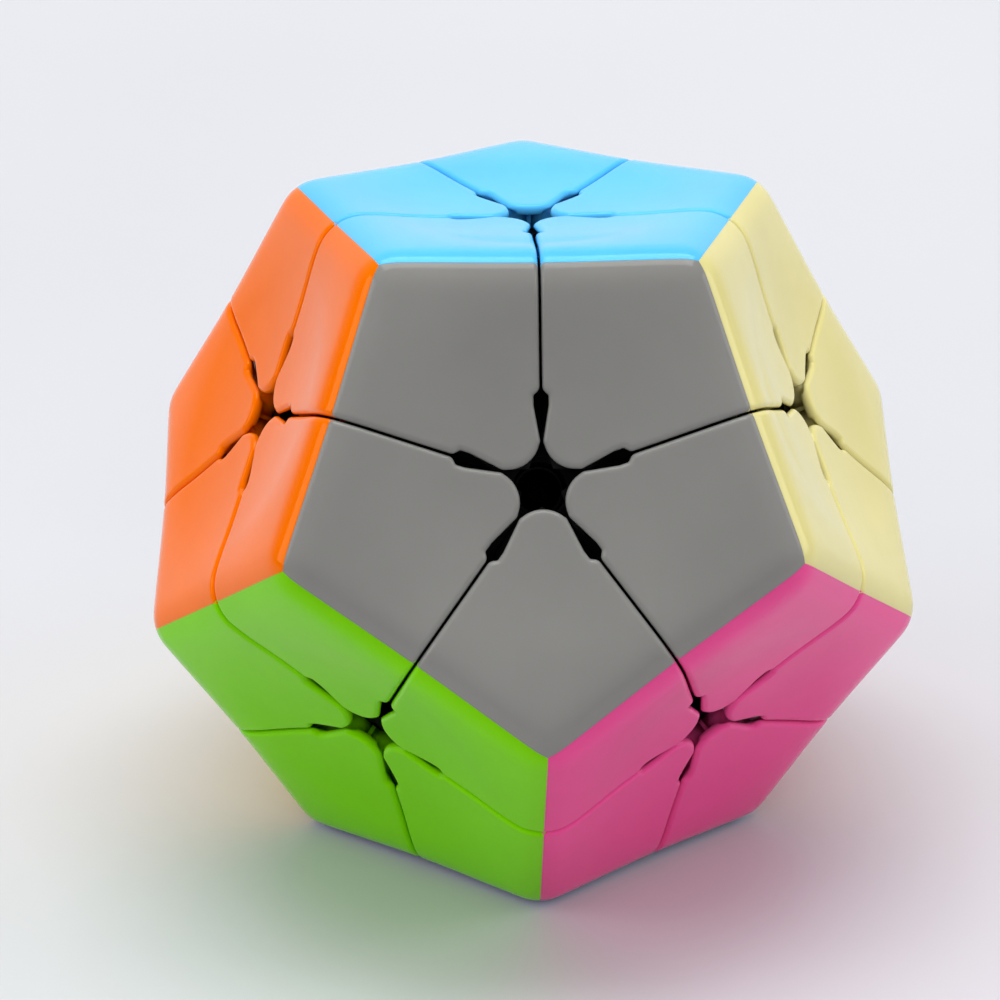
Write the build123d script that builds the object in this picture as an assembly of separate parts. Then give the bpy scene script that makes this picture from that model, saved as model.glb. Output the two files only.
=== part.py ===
from build123d import *

import math
import os

os.makedirs("parts", exist_ok=True)

# ---------------------------------------------------------------- overall size, mm
EDGE = 34.0  # edge of the sharp dodecahedron that the puzzle rounds off
FACE_HEIGHT = 1.11352 * EDGE  # centre of the puzzle to a sharp face
FACE_APOTHEM = 0.68819 * EDGE
NEAR = math.acos(1 / math.sqrt(5))  # angle between the normals of two touching faces
HALF_NEAR = NEAR / 2
STEP = 72.0  # degrees between the turns of a layer

# dished face: a shallow bowl that levels out before the ridge
DISH_DEPTH = 0.0292 * EDGE
DISH_RISE = 0.080 * EDGE
BOWL_END = 0.50
SHOULDER = ((0.60, 0.0250), (0.70, 0.0310), (0.80, 0.0330), (1.10, 0.0330), (1.60, 0.0330))
RIDGE_RADIUS = 0.155 * EDGE
RIDGE_HEIGHT = 1.3134 * EDGE  # centre of the puzzle to the middle of a rounded ridge

# cut surfaces between a layer and the rest
CLEARANCE = 0.10  # each side of every cut
CUT_HEIGHT = 0.4849 * EDGE  # of the flat cut above the centre
FOOT_CUT_HEIGHT = 0.41 * EDGE  # of the cut under the retaining step
STEP_SPHERE = 0.68 * EDGE  # radius of the retaining step
CORE_RADIUS = 0.462 * EDGE
COLLAR_START = 0.13  # where the collar of the cut begins, from the face centre
FAR = 1.7 * EDGE

# tiles
TILE_FLOOR = 0.985 * EDGE  # height of the underside of a tile
WALL = 1.5
SEAM_WALL = 3.6  # from a seam to the hollow under the tile
TIP_UNDERCUT_RADIUS = 5.1  # the tips round the screw are thin, and open out under their edge
TIP_UNDERCUT_HEIGHT = 35.6
TIP_NEAREST = 0.080 * EDGE
TIP_RADIUS = 0.104 * EDGE
NECK = 0.132 * EDGE
POCKET_FLARE = 0.241 * EDGE
POCKET_HALF_WIDTH = 0.0195 * EDGE
POCKET_END = 0.290 * EDGE

# hidden edges
EDGE_TOP_SPHERE = 0.90 * EDGE

# centre pieces, screws, washers and springs, heights along a face's axis
CENTRE_BOTTOM = 0.475 * EDGE
CENTRE_TOP = 0.835 * EDGE
CENTRE_KEEP = 3.4  # radius that the hidden edges leave free over the screw
FOOT_TRIM = 0.9
WELL_RADIUS = 3.0
WELL_FLOOR = 0.585 * EDGE
SHAFT_HOLE_RADIUS = 1.5
SCREW_TOP = 0.800 * EDGE
SCREW_END = 0.26 * EDGE
HEAD_RADIUS = 2.4
HEAD_HEIGHT = 1.9
HEAD_RIM = 1.0
SHAFT_RADIUS = 1.25
RECESS_LENGTH = 2.7
RECESS_WIDTH = 0.75
RECESS_DEPTH = 1.2
WASHER_RADIUS = 2.7
WASHER_HOLE = 1.4
WASHER_THICKNESS = 0.5
SPRING_RADIUS = 2.15
WIRE_RADIUS = 0.25
SPRING_TURNS = 5
FIT = 0.05  # between the end of a spring and what it presses on

# core
CORE_WALL = 2.4
HUB_RADIUS = 7.0
POST_RADIUS = 3.2
BORE_RADIUS = 1.3


BOTTOM = (Align.CENTER, Align.CENTER, Align.MIN)


# ---------------------------------------------------------------- directions
def axis(azimuth, height):
    """Unit normal of a face, azimuth in degrees from the front, height its z."""
    flat = math.sqrt(1 - height * height)
    turn = math.radians(azimuth)
    return Vector(math.sin(turn) * flat, -math.cos(turn) * flat, height)


HIGH = math.cos(NEAR)
FACES = {
    "light_blue": Vector(0, 0, 1),
    "gray": axis(0, HIGH),
    "pale_yellow": axis(72, HIGH),
    "dark_green": axis(144, HIGH),
    "purple": axis(216, HIGH),
    "orange": axis(288, HIGH),
    "pink": axis(36, -HIGH),
    "red": axis(108, -HIGH),
    "white": axis(180, -HIGH),
    "yellow": axis(252, -HIGH),
    "lime": axis(324, -HIGH),
    "dark_blue": Vector(0, 0, -1),
}
TURNING_LAYER = "gray"


def ring(face):
    """The five faces that touch this one, counter-clockwise seen from outside."""
    n = FACES[face]
    near = [f for f in FACES if f != face and abs(FACES[f].dot(n) - HIGH) < 0.01]
    first = FACES[near[0]] - n * HIGH
    side = n.cross(first)
    near.sort(key=lambda f: math.atan2(FACES[f].dot(side), FACES[f].dot(first)) % (2 * math.pi))
    return near


def seat(face, neighbour):
    """Location that carries the model corner or edge to this face and neighbour."""
    n = FACES[face]
    return Plane(origin=(0, 0, 0), x_dir=FACES[neighbour] - n * HIGH, z_dir=n).location


CORNER_LEAN = math.acos(math.sqrt((1 + 2 * HIGH) / 3))
MID_STEP = math.radians(STEP / 2)
CORNER_WIDE = math.sin(CORNER_LEAN)
CORNER = Vector(CORNER_WIDE * math.cos(MID_STEP), CORNER_WIDE * math.sin(MID_STEP), math.cos(CORNER_LEAN))
CORNER_AXIS = Axis((0, 0, 0), tuple(CORNER))
BACK = Rot(0, 0, 180 + STEP / 2)  # turns the start of a revolved surface away from the corner
TOP = Rot(0, 0, 0)
SIDE = Rot(0, math.degrees(NEAR), 0)  # the face at +X
END = Rot(0, 0, -STEP) * SIDE  # the face past the end of the ridge between those two
OTHER_END = Rot(0, 0, STEP) * SIDE


def three(shape):
    """The shape at each of a corner's three faces."""
    return [shape.rotate(CORNER_AXIS, turn) for turn in (0, 120, 240)]


# ---------------------------------------------------------------- shared surfaces
def dish_height(x):
    """Height of the bowl over the sharp face, x from the face centre, in edges."""
    return -DISH_DEPTH + DISH_RISE * (x * EDGE / FACE_APOTHEM) ** 2


def dish_points(drop):
    """Profile of a dished face as (radius, height), lowered by drop."""
    bowl = [(x * EDGE, FACE_HEIGHT + dish_height(x) - drop) for x in (0.0, 0.125, 0.25, 0.375, BOWL_END)]
    return bowl + [(x * EDGE, FACE_HEIGHT + z * EDGE - drop) for x, z in SHOULDER]


def dished_block(drop):
    """Everything below one dished face."""
    points = dish_points(drop)
    edge = Spline(*[(x, 0, z) for x, z in points], tangents=((1, 0, 0), (1, 0, 0)))
    x_end, z_end = points[-1]
    rest = Polyline((x_end, 0, z_end), (x_end, 0, 0), (0, 0, 0), (0, 0, points[0][1]))
    return revolve(make_face(edge + rest), axis=Axis.Z)


def seam_profile():
    """The seam between two tiles, as (radius, height) about the axis it turns on."""
    flat = [(x, 0.0) for x in (COLLAR_START, 0.2, 0.3, 0.4, BOWL_END)]
    over = [(x * EDGE, FACE_HEIGHT + dish_height(x)) for x, _ in flat]
    over.append((SHOULDER[0][0] * EDGE, FACE_HEIGHT + SHOULDER[0][1] * EDGE))
    centre = RIDGE_HEIGHT - RIDGE_RADIUS
    for share in (0.5, 1.0):
        lean = HALF_NEAR * share
        over.append(
            (
                centre * math.sin(HALF_NEAR) + RIDGE_RADIUS * math.sin(lean),
                centre * math.cos(HALF_NEAR) + RIDGE_RADIUS * math.cos(lean),
            )
        )
    seam = []
    for x, t in over:
        h = t * HIGH + x * math.sin(NEAR) * math.cos(math.radians(STEP))
        seam.append((math.sqrt(x * x + t * t - h * h), h))
    return seam


def plug(gap, foot=True):
    """The space that a turning layer owns; gap over zero shrinks it, under zero grows it."""
    low = FOOT_CUT_HEIGHT + gap
    cut = CUT_HEIGHT + gap
    step = STEP_SPHERE - gap
    seam = [(r - gap, h + gap) for r, h in seam_profile()]
    start = seam[0]
    (r1, h1), (r2, h2) = seam[-2:]
    end = (r2 + (r2 - r1) * 0.5, h2 + (h2 - h1) * 0.5)
    collar = Spline(*[(r, 0, h) for r, h in seam + [end]])
    if foot:
        lean_low, lean_cut = math.asin(low / step), math.asin(cut / step)
        middle = (lean_low + lean_cut) / 2
        at = [(step * math.cos(v), 0, step * math.sin(v)) for v in (lean_low, middle, lean_cut)]
        inner = Polyline((0, 0, low), at[0]) + ThreePointArc(*at)
        inner += Polyline(at[2], (start[0], 0, cut), (start[0], 0, start[1]))
        bottom = (0, 0, low)
    else:
        inner = Polyline((0, 0, cut), (start[0], 0, cut), (start[0], 0, start[1]))
        bottom = (0, 0, cut)
    outer = Polyline((end[0], 0, end[1]), (FAR, 0, end[1]), (FAR, 0, FAR), (0, 0, FAR), bottom)
    return revolve(make_face(inner + collar + outer), axis=Axis.Z)


def touches_corner(edge):
    """True for the ridges that run from a corner's point."""
    ends = (edge @ 0, edge @ 1)
    return any(p.cross(CORNER).length < 0.01 * EDGE and p.dot(CORNER) > EDGE for p in ends)


def corner_block(gap, drop, foot=True):
    """A whole corner, three faces wide, pulled in by gap at the cuts and by drop outside."""
    dishes = three(BACK * dished_block(drop))
    block = dishes[0] & dishes[1] & dishes[2]
    block = fillet([e for e in block.edges() if touches_corner(e)], RIDGE_RADIUS - drop)
    for keep in three(BACK * plug(gap, foot)):
        block = block & keep
    for other in three(END * plug(-gap, foot)):
        block = block - other
    return block


# ---------------------------------------------------------------- corners
def pocket():
    """The flared slot under a seam of the top face, along +X."""
    bend = (POCKET_FLARE + POCKET_END) / 2
    half = [(NECK, 0), (POCKET_FLARE, POCKET_HALF_WIDTH), (bend, POCKET_HALF_WIDTH), (POCKET_END, 0)]
    outline = half + [(x, -y) for x, y in reversed(half[1:-1])]
    return Pos(0, 0, TILE_FLOOR) * extrude(make_face(Polyline(*outline, close=True)), amount=EDGE)


def tip_keep():
    """The part of the top face outside the rounded tip that looks at its screw."""
    wide = EDGE * 2
    disc = Pos(TIP_NEAREST + TIP_RADIUS, 0, 0) * Cylinder(TIP_RADIUS, wide, align=BOTTOM)
    rest = Pos(NECK, 0, 0) * Box(wide, wide, wide, align=(Align.MIN, Align.CENTER, Align.MIN))
    return Rot(0, 0, STEP / 2) * (disc + rest)


def beyond(normal, height):
    """Everything further than height along a direction from the centre."""
    return Plane(origin=normal * height, z_dir=normal).location * Box(FAR * 2, FAR * 2, FAR, align=BOTTOM)


def tile_space():
    """The wedge over the floor that one tile fills, up to its two neighbours."""
    space = beyond(Vector(0, 0, 1), TILE_FLOOR)
    for turn in (0, STEP):
        toward = Vector(1, 0, 0).rotate(Axis.Z, turn)
        other = Vector(0, 0, HIGH) + toward * math.sin(NEAR)
        space = space & beyond((Vector(0, 0, 1) - other).normalized(), 0)
    return space


def tile_hollow():
    """The kite-shaped hollow under a tile."""
    ridge = TILE_FLOOR * math.tan(HALF_NEAR) - WALL / math.cos(HALF_NEAR)
    mid = (SEAM_WALL / math.tan(MID_STEP), SEAM_WALL)
    peak = (ridge, ridge * math.tan(MID_STEP))
    low = (ridge, SEAM_WALL)
    swing = 2 * MID_STEP
    mirrored = (
        low[0] * math.cos(swing) + low[1] * math.sin(swing),
        low[0] * math.sin(swing) - low[1] * math.cos(swing),
    )
    roof = FACE_HEIGHT - DISH_DEPTH - WALL
    return Pos(0, 0, TILE_FLOOR) * extrude(
        make_face(Polyline(mid, low, peak, mirrored, close=True)), amount=roof - TILE_FLOOR
    )


def corner_parts():
    """One tile, on the top face, and one foot."""
    whole = corner_block(CLEARANCE, 0)
    cut = pocket()
    tile = whole & tile_space() & tip_keep()
    tile = tile - cut - Rot(0, 0, STEP) * cut - tile_hollow()
    tile = tile - Cylinder(TIP_UNDERCUT_RADIUS, TIP_UNDERCUT_HEIGHT, align=BOTTOM)
    hollow = corner_block(CLEARANCE + WALL, WALL, foot=False) - Sphere(STEP_SPHERE + WALL)
    foot = whole - Sphere(CORE_RADIUS + CLEARANCE)
    for roof in three(beyond(Vector(0, 0, 1), TILE_FLOOR)):
        foot = foot - roof
        hollow = hollow - roof
    return tile, foot - hollow


# ---------------------------------------------------------------- hidden edges
def edge_part():
    """The piece between the top face and the face at +X, under the seams."""
    inner, outer = plug(CLEARANCE), plug(-CLEARANCE)
    body = (BACK * inner) & (SIDE * inner) & Sphere(EDGE_TOP_SPHERE)
    body = body - END * outer - OTHER_END * outer
    near = Cylinder(CENTRE_KEEP, EDGE * 2, align=BOTTOM)
    for place in (TOP, SIDE):
        body = body - place * near
    return body - Sphere(CORE_RADIUS + CLEARANCE)


# ---------------------------------------------------------------- centres and their fasteners
def pyramid_radius(cut, height):
    """Room for a centre piece at a height, inside the cuts of its five neighbours."""
    return (cut - HIGH * height) / math.sin(NEAR) - CLEARANCE * 1.5


def turned(points):
    """Solid of revolution about +Z from (radius, height) points."""
    return revolve(make_face(Polyline(*[(r, 0, z) for r, z in points], close=True)), axis=Axis.Z)


def centre_part():
    """Centre piece: a foot on the core, a flange over the hidden edges and a well for the screw."""
    low, step, top = CENTRE_BOTTOM, STEP_SPHERE, CENTRE_TOP
    stem = pyramid_radius(FOOT_CUT_HEIGHT, step + CLEARANCE)
    flange = step + CLEARANCE * 2
    outline = [
        (SHAFT_HOLE_RADIUS, low),
        (pyramid_radius(FOOT_CUT_HEIGHT, low) * FOOT_TRIM, low),
        (pyramid_radius(FOOT_CUT_HEIGHT, step * FOOT_TRIM), step * FOOT_TRIM),
        (stem, flange),
        (pyramid_radius(CUT_HEIGHT, flange), flange),
        (pyramid_radius(CUT_HEIGHT, top), top),
        (WELL_RADIUS, top),
        (WELL_RADIUS, WELL_FLOOR),
        (SHAFT_HOLE_RADIUS, WELL_FLOOR),
    ]
    return turned(outline)


def screw_part():
    """Pan head screw with a cross recess."""
    seat_height = SCREW_TOP - HEAD_HEIGHT
    crown = [(0, SCREW_TOP), (HEAD_RADIUS * 0.55, SCREW_TOP - HEAD_HEIGHT * 0.1)]
    crown += [(HEAD_RADIUS * 0.9, SCREW_TOP - HEAD_HEIGHT * 0.35), (HEAD_RADIUS, seat_height + HEAD_RIM * 0.6)]
    rest = [(HEAD_RADIUS, seat_height), (SHAFT_RADIUS, seat_height), (SHAFT_RADIUS, SCREW_END), (0, SCREW_END)]
    screw = turned(crown + rest)
    recess = Pos(0, 0, SCREW_TOP - RECESS_DEPTH) * Box(RECESS_LENGTH, RECESS_WIDTH, EDGE, align=BOTTOM)
    return screw - recess - Rot(0, 0, 90) * recess


def washer_part():
    """Flat washer under the screw's head."""
    top = SCREW_TOP - HEAD_HEIGHT
    low = top - WASHER_THICKNESS
    return turned([(WASHER_HOLE, low), (WASHER_RADIUS, low), (WASHER_RADIUS, top), (WASHER_HOLE, top)])


def spring_part():
    """Compression spring between the washer and the floor of the well."""
    low = WELL_FLOOR + WIRE_RADIUS + FIT
    high = SCREW_TOP - HEAD_HEIGHT - WASHER_THICKNESS - WIRE_RADIUS - FIT
    path = Pos(0, 0, low) * Helix(pitch=(high - low) / SPRING_TURNS, height=high - low, radius=SPRING_RADIUS)
    section = Plane(origin=path @ 0, z_dir=path % 0) * Circle(WIRE_RADIUS)
    return sweep(section, path=path, is_frenet=True)


def core_part():
    """Hollow ball with a hub and a threaded post for each screw."""
    core = Sphere(CORE_RADIUS) - Sphere(CORE_RADIUS - CORE_WALL) + Sphere(HUB_RADIUS)
    start = HUB_RADIUS * 0.8
    post = Pos(0, 0, start) * Cylinder(POST_RADIUS, CORE_RADIUS - CORE_WALL / 2 - start, align=BOTTOM)
    bore = Pos(0, 0, SCREW_END - FIT) * Cylinder(BORE_RADIUS, EDGE, align=BOTTOM)
    for face in FACES:
        core = core + seat(face, ring(face)[0]) * post
    for face in FACES:
        core = core - seat(face, ring(face)[0]) * bore
    return core


# ---------------------------------------------------------------- assembly
def layer_of(faces):
    """The body that a piece on these faces belongs to: the turning layer or the base."""
    return TURNING_LAYER if TURNING_LAYER in faces else "base"


def add(group, name, shape):
    """File a solid under its node's name."""
    group.setdefault(name, []).append(shape)


tile, foot = corner_parts()
edge = edge_part()
centre = centre_part()
fasteners = {"screws": screw_part(), "washers": washer_part(), "springs": spring_part()}
nodes = {"core": [core_part()]}
rest_height = tile.bounding_box().max.Z  # centre of the puzzle over the rim that it stands on

for face in FACES:
    near = ring(face)
    for k, first in enumerate(near):
        second = near[(k + 1) % len(near)]
        place = seat(face, first)
        owner = layer_of((face, first, second))
        add(nodes, f"tiles_{face}_on_{owner}", place * tile)
        if face == min(face, first, second):
            add(nodes, f"corner_feet_on_{owner}", place * foot)
        if face < first:
            add(nodes, f"hidden_edges_on_{layer_of((face, first))}", place * edge)
    add(nodes, f"centre_{face}", seat(face, near[0]) * centre)
    for name, shape in fasteners.items():
        add(nodes, name, seat(face, near[0]) * shape)

for name, shapes in nodes.items():
    solids = [s for shape in shapes for s in shape.solids()]
    node = Pos(0, 0, rest_height) * Compound(children=solids)
    export_step(node, f"parts/{name}.step")
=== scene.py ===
import math

import bmesh
import bpy
from mathutils import Matrix, Vector


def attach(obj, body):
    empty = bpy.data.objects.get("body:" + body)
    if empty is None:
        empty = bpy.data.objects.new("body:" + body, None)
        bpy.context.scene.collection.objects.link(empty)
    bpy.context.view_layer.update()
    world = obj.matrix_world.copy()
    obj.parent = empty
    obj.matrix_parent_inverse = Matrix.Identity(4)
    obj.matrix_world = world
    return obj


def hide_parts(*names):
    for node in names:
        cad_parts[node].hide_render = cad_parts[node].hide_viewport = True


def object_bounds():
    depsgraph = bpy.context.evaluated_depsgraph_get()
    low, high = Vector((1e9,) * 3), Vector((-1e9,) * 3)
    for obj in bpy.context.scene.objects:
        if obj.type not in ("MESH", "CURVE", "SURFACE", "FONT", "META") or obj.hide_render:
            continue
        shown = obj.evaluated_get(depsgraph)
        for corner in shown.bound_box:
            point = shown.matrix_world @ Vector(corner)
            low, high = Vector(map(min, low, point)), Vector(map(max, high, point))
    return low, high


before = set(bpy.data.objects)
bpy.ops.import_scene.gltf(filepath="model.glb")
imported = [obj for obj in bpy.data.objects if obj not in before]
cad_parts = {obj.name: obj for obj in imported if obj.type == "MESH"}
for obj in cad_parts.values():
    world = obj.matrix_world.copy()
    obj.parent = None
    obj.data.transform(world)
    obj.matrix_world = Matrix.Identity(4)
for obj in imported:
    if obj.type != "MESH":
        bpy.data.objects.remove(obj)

cad_box = [list(v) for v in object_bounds()]

# ------------------------------------------------------------------ the object's dimensions, metres
MM = 0.001
EDGE = 34.0 * MM
FACE_HEIGHT = 1.11352 * EDGE
FACE_APOTHEM = 0.68819 * EDGE
DISH_DEPTH = 0.0292 * EDGE
DISH_RISE = 0.080 * EDGE
BOWL_END = 0.50 * EDGE
SHOULDER = ((0.60, 0.0250), (0.70, 0.0310), (0.80, 0.0330), (1.10, 0.0330))
RIDGE_RADIUS = 0.155 * EDGE
RIDGE_HEIGHT = 1.3134 * EDGE
CUT_HEIGHT = 0.4849 * EDGE
CLEARANCE = 0.10 * MM
TILE_FLOOR = 0.985 * EDGE
TIP_NEAREST = 0.080 * EDGE
TIP_RADIUS = 0.104 * EDGE
NECK = 0.132 * EDGE
NECK_RADIUS = 0.022 * EDGE
TIP_UNDERCUT_RADIUS = 5.1 * MM
TIP_UNDERCUT_HEIGHT = 35.6 * MM
POCKET_FLARE = 0.245 * EDGE
POCKET_HALF_WIDTH = 0.0195 * EDGE
POCKET_END = 0.288 * EDGE
SEAM_GAP = 0.13 * MM  # from a seam to a tile's side
SOFT_EDGE = 0.65 * MM  # rounding of a tile's outline along the seams
CRISP_EDGE = 0.07 * MM  # rounding where two colours of one corner meet

EASE_FROM = 0.5 * EDGE
EASE_SHIFTS = [1.3 * MM * k / 3 for k in (-3, -2, -1, 0, 1, 2, 3)]

NEAR = math.acos(1 / math.sqrt(5))
HIGH, WIDE = math.cos(NEAR), math.sin(NEAR)
HALF_NEAR = NEAR / 2
STEP = math.radians(72)
MIDDLE = STEP / 2
REST_HEIGHT = cad_box[1][2] / 2  # the puzzle's centre over the floor


# ------------------------------------------------------------------ faces
def axis(azimuth, height):
    flat = math.sqrt(1 - height * height)
    turn = math.radians(azimuth)
    return Vector((math.sin(turn) * flat, -math.cos(turn) * flat, height))


FACES = {
    "light_blue": Vector((0, 0, 1)),
    "gray": axis(0, HIGH),
    "pale_yellow": axis(72, HIGH),
    "dark_green": axis(144, HIGH),
    "purple": axis(216, HIGH),
    "orange": axis(288, HIGH),
    "pink": axis(36, -HIGH),
    "red": axis(108, -HIGH),
    "white": axis(180, -HIGH),
    "yellow": axis(252, -HIGH),
    "lime": axis(324, -HIGH),
    "dark_blue": Vector((0, 0, -1)),
}
TURNING_LAYER = "gray"


def ring(face):
    """The five faces that touch this one, counter-clockwise seen from outside."""
    n = FACES[face]
    near = [f for f in FACES if f != face and abs(FACES[f].dot(n) - HIGH) < 0.01]
    first = FACES[near[0]] - n * HIGH
    side = n.cross(first)
    near.sort(key=lambda f: math.atan2(FACES[f].dot(side), FACES[f].dot(first)) % (2 * math.pi))
    return near


def seat(face, neighbour):
    """Matrix that carries the model tile to this face, next to this neighbour."""
    z = FACES[face]
    x = (FACES[neighbour] - z * HIGH).normalized()
    y = z.cross(x)
    turn = Matrix((x, y, z)).transposed().to_4x4()
    return Matrix.Translation((0, 0, REST_HEIGHT)) @ turn


def layer_of(faces):
    return TURNING_LAYER if TURNING_LAYER in faces else "base"


# ------------------------------------------------------------------ the surface of a face
def hermite(x0, y0, s0, x1, y1, s1, x):
    """Cubic through two points with their slopes."""
    w = x1 - x0
    t = (x - x0) / w
    a, b = t * t * (3 - 2 * t), t * (1 - t)
    return y0 * (1 - a) + y1 * a + b * (1 - t) * s0 * w - b * t * s1 * w


def shoulder_knots():
    """Points and slopes of the face's profile past the bowl."""
    x = [BOWL_END] + [k * EDGE for k, _ in SHOULDER]
    z = [-DISH_DEPTH + DISH_RISE * (BOWL_END / FACE_APOTHEM) ** 2] + [k * EDGE for _, k in SHOULDER]
    slope = [2 * DISH_RISE * BOWL_END / FACE_APOTHEM**2]
    for i in range(1, len(x) - 1):
        before, after = (z[i] - z[i - 1]) / (x[i] - x[i - 1]), (z[i + 1] - z[i]) / (x[i + 1] - x[i])
        slope.append((before + after) / 2 if after > 0 else 0.0)
    return list(zip(x, z, slope + [0.0]))


KNOTS = shoulder_knots()


def dish(radius):
    """Height of a dished face over the puzzle's centre, at a radius from the face's axis."""
    if radius <= BOWL_END:
        return FACE_HEIGHT - DISH_DEPTH + DISH_RISE * (radius / FACE_APOTHEM) ** 2
    for (x0, z0, s0), (x1, z1, s1) in zip(KNOTS, KNOTS[1:]):
        if radius <= x1:
            return FACE_HEIGHT + hermite(x0, z0, s0, x1, z1, s1, radius)
    return FACE_HEIGHT + KNOTS[-1][1]


def ball(y):
    """Where a ball of the ridge's radius rests inside the ridge, y along it: centre and touching x."""
    cx = 0.609 * EDGE
    for _ in range(6):
        d = 0.2 * MM
        slope = (dish(math.hypot(cx + d, y)) - dish(math.hypot(cx - d, y))) / (2 * d)
        lean = math.atan(slope)
        touch = cx - RIDGE_RADIUS * math.sin(lean)
        cz = dish(math.hypot(touch, y)) - RIDGE_RADIUS * math.cos(lean)
        cx = cz * math.tan(HALF_NEAR)
    return cx, cz, cx - RIDGE_RADIUS * math.sin(lean)


def corner_ball():
    """Centre of the ball that rests in the corner, where the three ridges meet."""
    y = 0.44 * EDGE
    for _ in range(8):
        cx, cz, _ = ball(y)
        y = cx * math.tan(MIDDLE)
    return cx, y, cz


CORNER_BALL = corner_ball()


def plain_surface(x, y):
    """Height of the dished face with a round ridge, over the puzzle's centre."""
    y = abs(y)
    angle = math.atan2(y, x)
    if angle > MIDDLE:
        radius = math.hypot(x, y)
        angle = STEP - angle
        x, y = radius * math.cos(angle), radius * math.sin(angle)
    bx, by, bz = CORNER_BALL
    if y <= by:
        cx, cz, touch = ball(y)
        if x <= touch:
            return dish(math.hypot(x, y))
        return cz + math.sqrt(max(RIDGE_RADIUS**2 - (x - cx) ** 2, 0))
    left = RIDGE_RADIUS**2 - (x - bx) ** 2 - (y - by) ** 2
    return bz + math.sqrt(max(left, 0))


def surface(x, y):
    """The same height, with the start of the ridge's rounding eased in."""
    if math.hypot(x, y) < EASE_FROM:
        return plain_surface(x, y)
    total = 0.0
    for shift in EASE_SHIFTS:
        total += plain_surface(x + shift, y) + plain_surface(x, y + shift)
    return total / (2 * len(EASE_SHIFTS))


def crest(y):
    """Where the ridge's crest lies, y along it."""
    x = ball(y)[0] + RIDGE_RADIUS * math.sin(HALF_NEAR)
    for _ in range(6):
        x = surface(x, y) * math.tan(HALF_NEAR)
    return x


# ------------------------------------------------------------------ the cut that a tile's sides follow
def collar():
    """The seam, as (height, radius) about the axis that it turns on."""
    points = []
    count = 24
    last = 0.60 * EDGE
    for i in range(count + 1):
        x = 0.13 * EDGE + (last - 0.13 * EDGE) * i / count
        points.append((x, dish(x)))
    centre = RIDGE_HEIGHT - RIDGE_RADIUS
    for i in range(1, 9):
        lean = 0.1 + (HALF_NEAR + 0.35 - 0.1) * i / 8
        points.append(
            (
                centre * math.sin(HALF_NEAR) + RIDGE_RADIUS * math.sin(lean),
                centre * math.cos(HALF_NEAR) + RIDGE_RADIUS * math.cos(lean),
            )
        )
    found = []
    for x, t in points:
        h = t * HIGH + x * WIDE * math.cos(STEP)
        found.append((h, math.sqrt(x * x + t * t - h * h)))
    return sorted(found)


COLLAR = collar()


def collar_radius(h):
    if h <= COLLAR[0][0]:
        return COLLAR[0][1] if h > CUT_HEIGHT - CLEARANCE else 1e3
    for (h0, r0), (h1, r1) in zip(COLLAR, COLLAR[1:]):
        if h <= h1:
            return r0 + (r1 - r0) * (h - h0) / (h1 - h0)
    return COLLAR[-1][1] + (h - COLLAR[-1][0]) * 3


def clear_of_cuts(x, y, z):
    """True where a point of the tile is on its own side of the neighbouring cuts."""
    if WIDE * x + HIGH * z < CUT_HEIGHT + CLEARANCE:
        return False
    if z < TIP_UNDERCUT_HEIGHT and math.hypot(x, y) < TIP_UNDERCUT_RADIUS:
        return False
    h = HIGH * z + WIDE * (x * math.cos(STEP) - y * math.sin(STEP)) + CLEARANCE
    radius = math.sqrt(max(x * x + y * y + z * z - (h - CLEARANCE) ** 2, 0)) - CLEARANCE
    return h < CUT_HEIGHT or radius > collar_radius(h)


# ------------------------------------------------------------------ a tile's outline
def rounded(points, radii, step=0.16 * MM):
    """A polyline with its corners rounded, as closely spaced points."""
    path = [points[0]]
    for before, at, after, radius in zip(points, points[1:], points[2:], radii):
        a, b = (before - at).normalized(), (after - at).normalized()
        half = a.angle(b) / 2
        reach = radius / math.tan(half)
        centre = at + (a + b).normalized() * (radius / math.sin(half))
        start, end = at + a * reach - centre, at + b * reach - centre
        sweep = start.angle(end)
        count = max(int(radius * sweep / step), 4)
        for i in range(count + 1):
            t = i / count
            mix = start * math.sin((1 - t) * sweep) + end * math.sin(t * sweep)
            path.append(centre + mix / math.sin(sweep))
    return path + [points[-1]]


def spaced(path, step):
    """The same line with points at most a step apart."""
    out = [path[0]]
    for a, b in zip(path, path[1:]):
        count = max(int(math.ceil((b - a).length / step)), 1)
        out += [a.lerp(b, (i + 1) / count) for i in range(count)]
    return out


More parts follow.
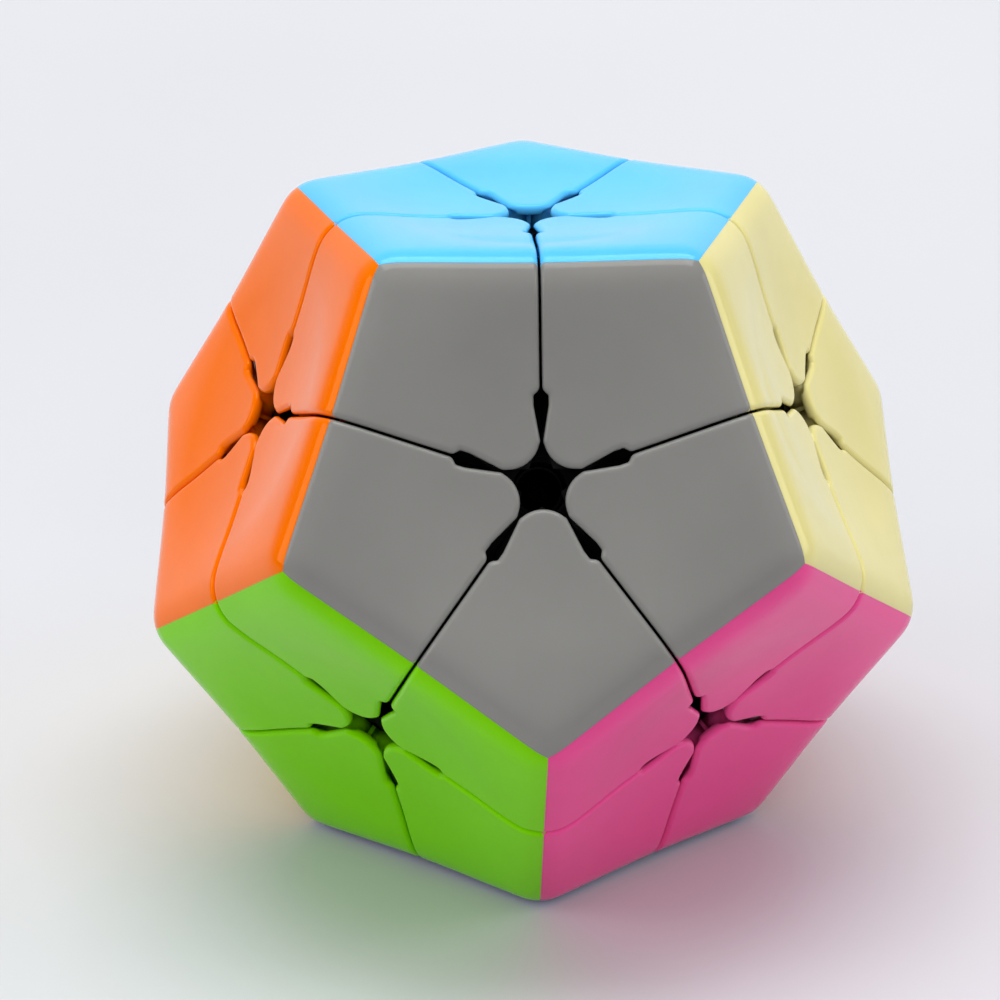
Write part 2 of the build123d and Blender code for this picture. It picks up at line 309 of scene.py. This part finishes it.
def half_outline():
    """From the tip, along the seam, up the ridge to the corner's point: (point, soft or crisp)."""
    along, across = math.cos(MIDDLE), math.sin(MIDDLE)

    def spin(x, y):
        return Vector((x * along - y * across, x * across + y * along))

    centre = TIP_NEAREST + TIP_RADIUS
    bend = math.radians(37)
    count = 16
    arc = []
    for i in range(count + 1):
        lean = bend * i / count
        arc.append(spin(centre - TIP_RADIUS * math.cos(lean), -TIP_RADIUS * math.sin(lean)))
    neck = Vector((NECK, SEAM_GAP, 0)).to_2d()
    flare = Vector((POCKET_FLARE, SEAM_GAP + POCKET_HALF_WIDTH, 0)).to_2d()
    back = Vector((POCKET_END - 0.012 * EDGE, SEAM_GAP + POCKET_HALF_WIDTH, 0)).to_2d()
    step = Vector((POCKET_END + 0.006 * EDGE, SEAM_GAP, 0)).to_2d()
    ridge = Vector((crest(SEAM_GAP), SEAM_GAP))
    corners = [arc[-1], neck, flare, back, step, ridge]
    seam = rounded(corners, (NECK_RADIUS, 0.25 * MM, 0.35 * MM, 0.9 * MM))
    soft = arc[:-1] + spaced(seam, 0.45 * MM)
    up = []
    by = CORNER_BALL[1]
    rows = 24
    low = SEAM_GAP + SOFT_EDGE + 0.03 * MM
    for i in range(rows + 1):
        y = low + (by - low) * i / rows
        up.append(Vector((crest(y), y)))
    bx, _, bz = CORNER_BALL
    way = Vector((bx, by, bz)).normalized()
    end = math.atan2(way.y, math.hypot(way.x, way.z))
    for i in range(1, 9):
        lean = end * i / 8
        y = by + RIDGE_RADIUS * math.sin(lean)
        x = bx + RIDGE_RADIUS * math.cos(lean) * math.sin(HALF_NEAR)
        for _ in range(6):
            x = max(surface(x, y) * math.tan(HALF_NEAR), y / math.tan(MIDDLE))
        up.append(Vector((x, y)))
    return soft, up


def flip(p):
    """The same point on the tile's other half."""
    angle = STEP - math.atan2(p.y, p.x)
    return Vector((p.length * math.cos(angle), p.length * math.sin(angle)))


def outline():
    """The whole outline, counter-clockwise: point, the way in to the flat, and the rounding's radius."""
    soft, up = half_outline()
    points = soft + up
    ways = inward(points + [flip(p) for p in reversed(points[1:-1])])
    half = []
    for i, p in enumerate(points):
        if i < len(soft) - 1:
            half.append((p, ways[i] * SOFT_EDGE, SOFT_EDGE))
        elif i == len(soft) - 1:
            half.append((p, Vector((-CRISP_EDGE, SOFT_EDGE)), SOFT_EDGE))
        else:
            half.append((p, ways[i] * CRISP_EDGE, CRISP_EDGE))
    other = [(flip(p), flip(p + w) - flip(p), r) for p, w, r in reversed(half[1:-1])]
    return half + other


def inward(points):
    """The inward direction at each point of a closed counter-clockwise line."""
    found = []
    n = len(points)
    for i in range(n):
        t = (points[(i + 1) % n] - points[i - 1]).normalized()
        found.append(Vector((-t.y, t.x)))
    return found


def settle(p, way, z):
    """Moves a point of a tile's side in until it is clear of the neighbouring cuts."""
    def bad(q):
        if math.atan2(q.y, q.x) > MIDDLE:
            q = flip(q)
        return not clear_of_cuts(q.x, q.y, z)

    if not bad(p):
        return p
    way = way.normalized()
    low, high = 0.0, 5.5 * MM
    for _ in range(18):
        mid = (low + high) / 2
        if bad(p + way * mid):
            low = mid
        else:
            high = mid
    return p + way * high


def tile_mesh():
    """One tile on the top face, about the puzzle's centre: vertices and faces."""
    line = outline()
    n = len(line)
    middle = Vector((0.47 * EDGE * math.cos(MIDDLE), 0.47 * EDGE * math.sin(MIDDLE)))
    loops = []
    for share in (0.0, 0.35, 0.70, 0.85):
        row = []
        for p, way, radius in line:
            top = surface(p.x, p.y)
            z = TILE_FLOOR + (top - radius - TILE_FLOOR) * share
            q = p * (z / top) if radius == CRISP_EDGE or abs(way.x + CRISP_EDGE) < 1e-9 else p
            q = settle(q, way if radius == SOFT_EDGE else -p, z)
            row.append(Vector((q.x, q.y, z)))
        loops.append(row)
    steps = 6
    for k in range(steps + 1):
        lean = math.pi / 2 * k / steps
        row = []
        for p, way, radius in line:
            q = p + way * (1 - math.cos(lean))
            row.append(Vector((q.x, q.y, surface(q.x, q.y) - radius * (1 - math.sin(lean)))))
        loops.append(row)
    inner = [v.to_2d() for v in loops[-1]]
    shares = [0.03, 0.07, 0.12, 0.18, 0.25, 0.33, 0.42, 0.52, 0.62, 0.72, 0.82, 0.91]
    for share in shares:
        row = []
        for p in inner:
            q = p.lerp(middle, share)
            row.append(Vector((q.x, q.y, surface(q.x, q.y))))
        loops.append(row)

    verts = [v for row in loops for v in row]
    faces = []
    for k in range(len(loops) - 1):
        for i in range(n):
            j = (i + 1) % n
            faces.append((k * n + i, k * n + j, (k + 1) * n + j, (k + 1) * n + i))
    top = len(verts)
    verts.append(Vector((middle.x, middle.y, surface(middle.x, middle.y))))
    last = (len(loops) - 1) * n
    for i in range(n):
        faces.append((last + i, last + (i + 1) % n, top))
    low = len(verts)
    verts.append(Vector((middle.x, middle.y, TILE_FLOOR)))
    for i in range(n):
        faces.append(((i + 1) % n, i, low))
    return verts, faces


# ------------------------------------------------------------------ materials
def new_material(name):
    m = bpy.data.materials.new(name)
    m.use_nodes = True
    nodes, links = m.node_tree.nodes, m.node_tree.links
    shader = nodes["Principled BSDF"]
    return m, nodes, links, shader


def noise(nodes, links, coords, scale, detail=3.0, rough=0.5):
    n = nodes.new("ShaderNodeTexNoise")
    n.inputs["Scale"].default_value = scale
    n.inputs["Detail"].default_value = detail
    n.inputs["Roughness"].default_value = rough
    links.new(coords.outputs["Object"], n.inputs["Vector"])
    return n


def ranged(nodes, links, source, low, high, start=0.35, end=0.65):
    r = nodes.new("ShaderNodeMapRange")
    r.inputs["From Min"].default_value = start
    r.inputs["From Max"].default_value = end
    r.inputs["To Min"].default_value = low
    r.inputs["To Max"].default_value = high
    links.new(source, r.inputs["Value"])
    return r.outputs["Result"]


def mixed(nodes, links, factor, a, b):
    m = nodes.new("ShaderNodeMix")
    m.data_type = "RGBA"
    links.new(factor, m.inputs["Factor"])
    m.inputs["A"].default_value = (*a, 1)
    m.inputs["B"].default_value = (*b, 1)
    return m.outputs["Result"]


def tile_plastic(name, color, deep, glow):
    """Glossy moulded plastic, coloured right through: faint flow marks, hairlines and orange peel."""
    m, nodes, links, s = new_material(name)
    coords = nodes.new("ShaderNodeTexCoord")
    cloud = noise(nodes, links, coords, 55, 4)
    share = ranged(nodes, links, cloud.outputs["Fac"], 0, 1)
    links.new(mixed(nodes, links, share, color, deep), s.inputs["Base Color"])
    smear = noise(nodes, links, coords, 190, 5, 0.65)
    links.new(ranged(nodes, links, smear.outputs["Fac"], 0.09, 0.15), s.inputs["Roughness"])
    peel = noise(nodes, links, coords, 900, 2)
    wave = noise(nodes, links, coords, 70, 1)
    total = nodes.new("ShaderNodeMath")
    total.operation = "MULTIPLY_ADD"
    total.inputs[1].default_value = 0.12
    links.new(peel.outputs["Fac"], total.inputs[0])
    links.new(wave.outputs["Fac"], total.inputs[2])
    bump = nodes.new("ShaderNodeBump")
    bump.inputs["Strength"].default_value = 0.05
    bump.inputs["Distance"].default_value = 0.0006
    links.new(total.outputs["Value"], bump.inputs["Height"])
    links.new(bump.outputs["Normal"], s.inputs["Normal"])
    s.inputs["IOR"].default_value = 1.5
    s.inputs["Subsurface Weight"].default_value = glow
    s.inputs["Subsurface Radius"].default_value = (1.0, 1.0, 1.0)
    s.inputs["Subsurface Scale"].default_value = 0.0012
    s.inputs["Specular IOR Level"].default_value = 0.32
    s.inputs["Specular Tint"].default_value = tuple(v ** 0.5 for v in color) + (1,)
    s.inputs["Coat Weight"].default_value = 0.07
    s.inputs["Coat Roughness"].default_value = 0.05
    return m


def black_plastic():
    """Black moulded plastic of the working parts, a little greased."""
    m, nodes, links, s = new_material("black_works")
    coords = nodes.new("ShaderNodeTexCoord")
    grain = noise(nodes, links, coords, 260, 4)
    share = ranged(nodes, links, grain.outputs["Fac"], 0, 1)
    tone = mixed(nodes, links, share, (0.006, 0.006, 0.007), (0.016, 0.016, 0.017))
    links.new(tone, s.inputs["Base Color"])
    links.new(ranged(nodes, links, grain.outputs["Fac"], 0.30, 0.48), s.inputs["Roughness"])
    bump = nodes.new("ShaderNodeBump")
    bump.inputs["Strength"].default_value = 0.12
    bump.inputs["Distance"].default_value = 0.0004
    links.new(grain.outputs["Fac"], bump.inputs["Height"])
    links.new(bump.outputs["Normal"], s.inputs["Normal"])
    s.inputs["Specular IOR Level"].default_value = 0.15
    return m


def metal(name, bright, dull, low, high):
    """Plated metal with fine wear."""
    m, nodes, links, s = new_material(name)
    coords = nodes.new("ShaderNodeTexCoord")
    wear = noise(nodes, links, coords, 420, 6, 0.7)
    share = ranged(nodes, links, wear.outputs["Fac"], 0, 1)
    links.new(mixed(nodes, links, share, bright, dull), s.inputs["Base Color"])
    links.new(ranged(nodes, links, wear.outputs["Fac"], low, high), s.inputs["Roughness"])
    bump = nodes.new("ShaderNodeBump")
    bump.inputs["Strength"].default_value = 0.15
    bump.inputs["Distance"].default_value = 0.0002
    links.new(wear.outputs["Fac"], bump.inputs["Height"])
    links.new(bump.outputs["Normal"], s.inputs["Normal"])
    s.inputs["Metallic"].default_value = 1.0
    return m


COLOURS = {
    "light_blue": (0.10, 0.55, 1.0),
    "gray": (0.262, 0.256, 0.240),
    "orange": (1.0, 0.175, 0.0),
    "pale_yellow": (0.78, 0.70, 0.29),
    "lime": (0.20, 0.66, 0.0),
    "pink": (0.86, 0.080, 0.30),
    "purple": (0.16, 0.035, 0.42),
    "dark_green": (0.010, 0.17, 0.055),
    "red": (0.70, 0.006, 0.006),
    "white": (0.83, 0.83, 0.81),
    "yellow": (1.0, 0.72, 0.0),
    "dark_blue": (0.010, 0.045, 0.38),
}
plastic = {}
for name, color in COLOURS.items():
    deep = tuple(c * 0.93 for c in color)
    plastic[name] = tile_plastic(f"{name}_plastic", color, deep, 0.22)
works = black_plastic()
brass = metal("screw_brass", (0.16, 0.095, 0.035), (0.05, 0.030, 0.012), 0.28, 0.48)
steel = metal("spring_steel", (0.60, 0.60, 0.59), (0.42, 0.42, 0.42), 0.22, 0.40)


# ------------------------------------------------------------------ pieces
def build_tiles():
    """The coloured tiles, one piece for each colour on each turning body."""
    verts, faces = tile_mesh()
    groups = {}
    for face in FACES:
        near = ring(face)
        for k, first in enumerate(near):
            second = near[(k + 1) % 5]
            owner = layer_of((face, first, second))
            groups.setdefault((face, owner), []).append(seat(face, first))
    for (face, owner), places in groups.items():
        bm = bmesh.new()
        for place in places:
            made = [bm.verts.new(place @ v) for v in verts]
            for f in faces:
                bm.faces.new([made[i] for i in f]).smooth = True
        mesh = bpy.data.meshes.new(f"{face}_tiles_of_{owner}")
        bm.to_mesh(mesh)
        bm.free()
        piece = bpy.data.objects.new(f"{face}_tiles_of_{owner}", mesh)
        bpy.context.scene.collection.objects.link(piece)
        mesh.materials.append(plastic[face])
        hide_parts(f"tiles_{face}_on_{owner}")
        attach(piece, "base" if owner == "base" else f"layer_{owner}")


def dress_works():
    """The working parts keep their shape and take their materials."""
    for name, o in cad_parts.items():
        if name.startswith("tiles_"):
            continue
        material = works
        if name == "screws":
            material = brass
        elif name == "springs":
            material = steel
        for i in range(len(o.material_slots)):
            o.material_slots[i].material = material


build_tiles()
dress_works()


# ------------------------------------------------------------------ floor, light and camera
def pale_floor():
    m, nodes, links, s = new_material("pale_floor")
    coords = nodes.new("ShaderNodeTexCoord")
    cloud = noise(nodes, links, coords, 4, 2)
    share = ranged(nodes, links, cloud.outputs["Fac"], 0, 1)
    links.new(mixed(nodes, links, share, (0.63, 0.63, 0.65), (0.66, 0.66, 0.68)), s.inputs["Base Color"])
    links.new(ranged(nodes, links, cloud.outputs["Fac"], 0.50, 0.60), s.inputs["Roughness"])
    return m


def floor_sweep():
    """A pale floor that curves up into the backdrop behind the puzzle."""
    wide, front, back, tall, bend = 1.6, -1.2, 0.55, 1.5, 0.45
    profile = [(front, 0.0), (back - bend, 0.0)]
    for i in range(1, 17):
        a = math.pi / 2 * i / 16
        profile.append((back - bend + bend * math.sin(a), bend - bend * math.cos(a)))
    profile.append((back, tall))
    verts = [(x, y, z) for y, z in profile for x in (-wide, wide)]
    faces = [(2 * i, 2 * i + 1, 2 * i + 3, 2 * i + 2) for i in range(len(profile) - 1)]
    mesh = bpy.data.meshes.new("floor_sweep")
    mesh.from_pydata(verts, [], faces)
    for p in mesh.polygons:
        p.use_smooth = True
    o = bpy.data.objects.new("floor_sweep", mesh)
    bpy.context.scene.collection.objects.link(o)
    mesh.materials.append(pale_floor())


def area(name, place, aim, size, power, color=(1, 1, 1), mirrored=True):
    lamp = bpy.data.lights.new(name, "AREA")
    lamp.shape = "RECTANGLE"
    lamp.size, lamp.size_y = size
    lamp.energy = power
    lamp.color = color
    o = bpy.data.objects.new(name, lamp)
    o.location = place
    o.rotation_euler = (Vector(aim) - Vector(place)).to_track_quat("-Z", "Y").to_euler()
    o.visible_glossy = mirrored
    bpy.context.scene.collection.objects.link(o)


floor_sweep()
heart = (0, 0, REST_HEIGHT)
area("top_box", (0.0, 0.10, 0.70), heart, (0.7, 0.4), 4.2, (0.97, 0.985, 1.0))
area("left_box", (-0.60, -0.10, 0.30), heart, (0.30, 0.4), 1.0)
area("right_box", (0.60, -0.05, 0.30), heart, (0.30, 0.4), 1.0)
area("front_fill", (-0.05, -0.90, 0.50), heart, (0.9, 0.6), 2.5, mirrored=False)
area("back_wash", (0.0, -0.05, 0.6), (0.0, 0.55, 0.35), (1.2, 0.2), 0.05, (0.93, 0.95, 1.0))

world = bpy.data.worlds.new("studio")
bpy.context.scene.world = world
world.use_nodes = True
world.node_tree.nodes["Background"].inputs["Color"].default_value = (0.93, 0.95, 1.0, 1)
world.node_tree.nodes["Background"].inputs["Strength"].default_value = 0.34
world.cycles_visibility.glossy = False
bpy.context.scene.view_settings.view_transform = "Standard"

camera = bpy.data.cameras.new("camera")
camera.lens = 81.58
camera.sensor_width = 36
camera.clip_start, camera.clip_end = 0.01, 10
eye = bpy.data.objects.new("camera", camera)
eye.location = (-0.01003, -0.25456, 0.14641)
eye.rotation_euler = [math.radians(v) for v in (67.284, 0.288, -1.545)]
bpy.context.scene.collection.objects.link(eye)
bpy.context.scene.camera = eye
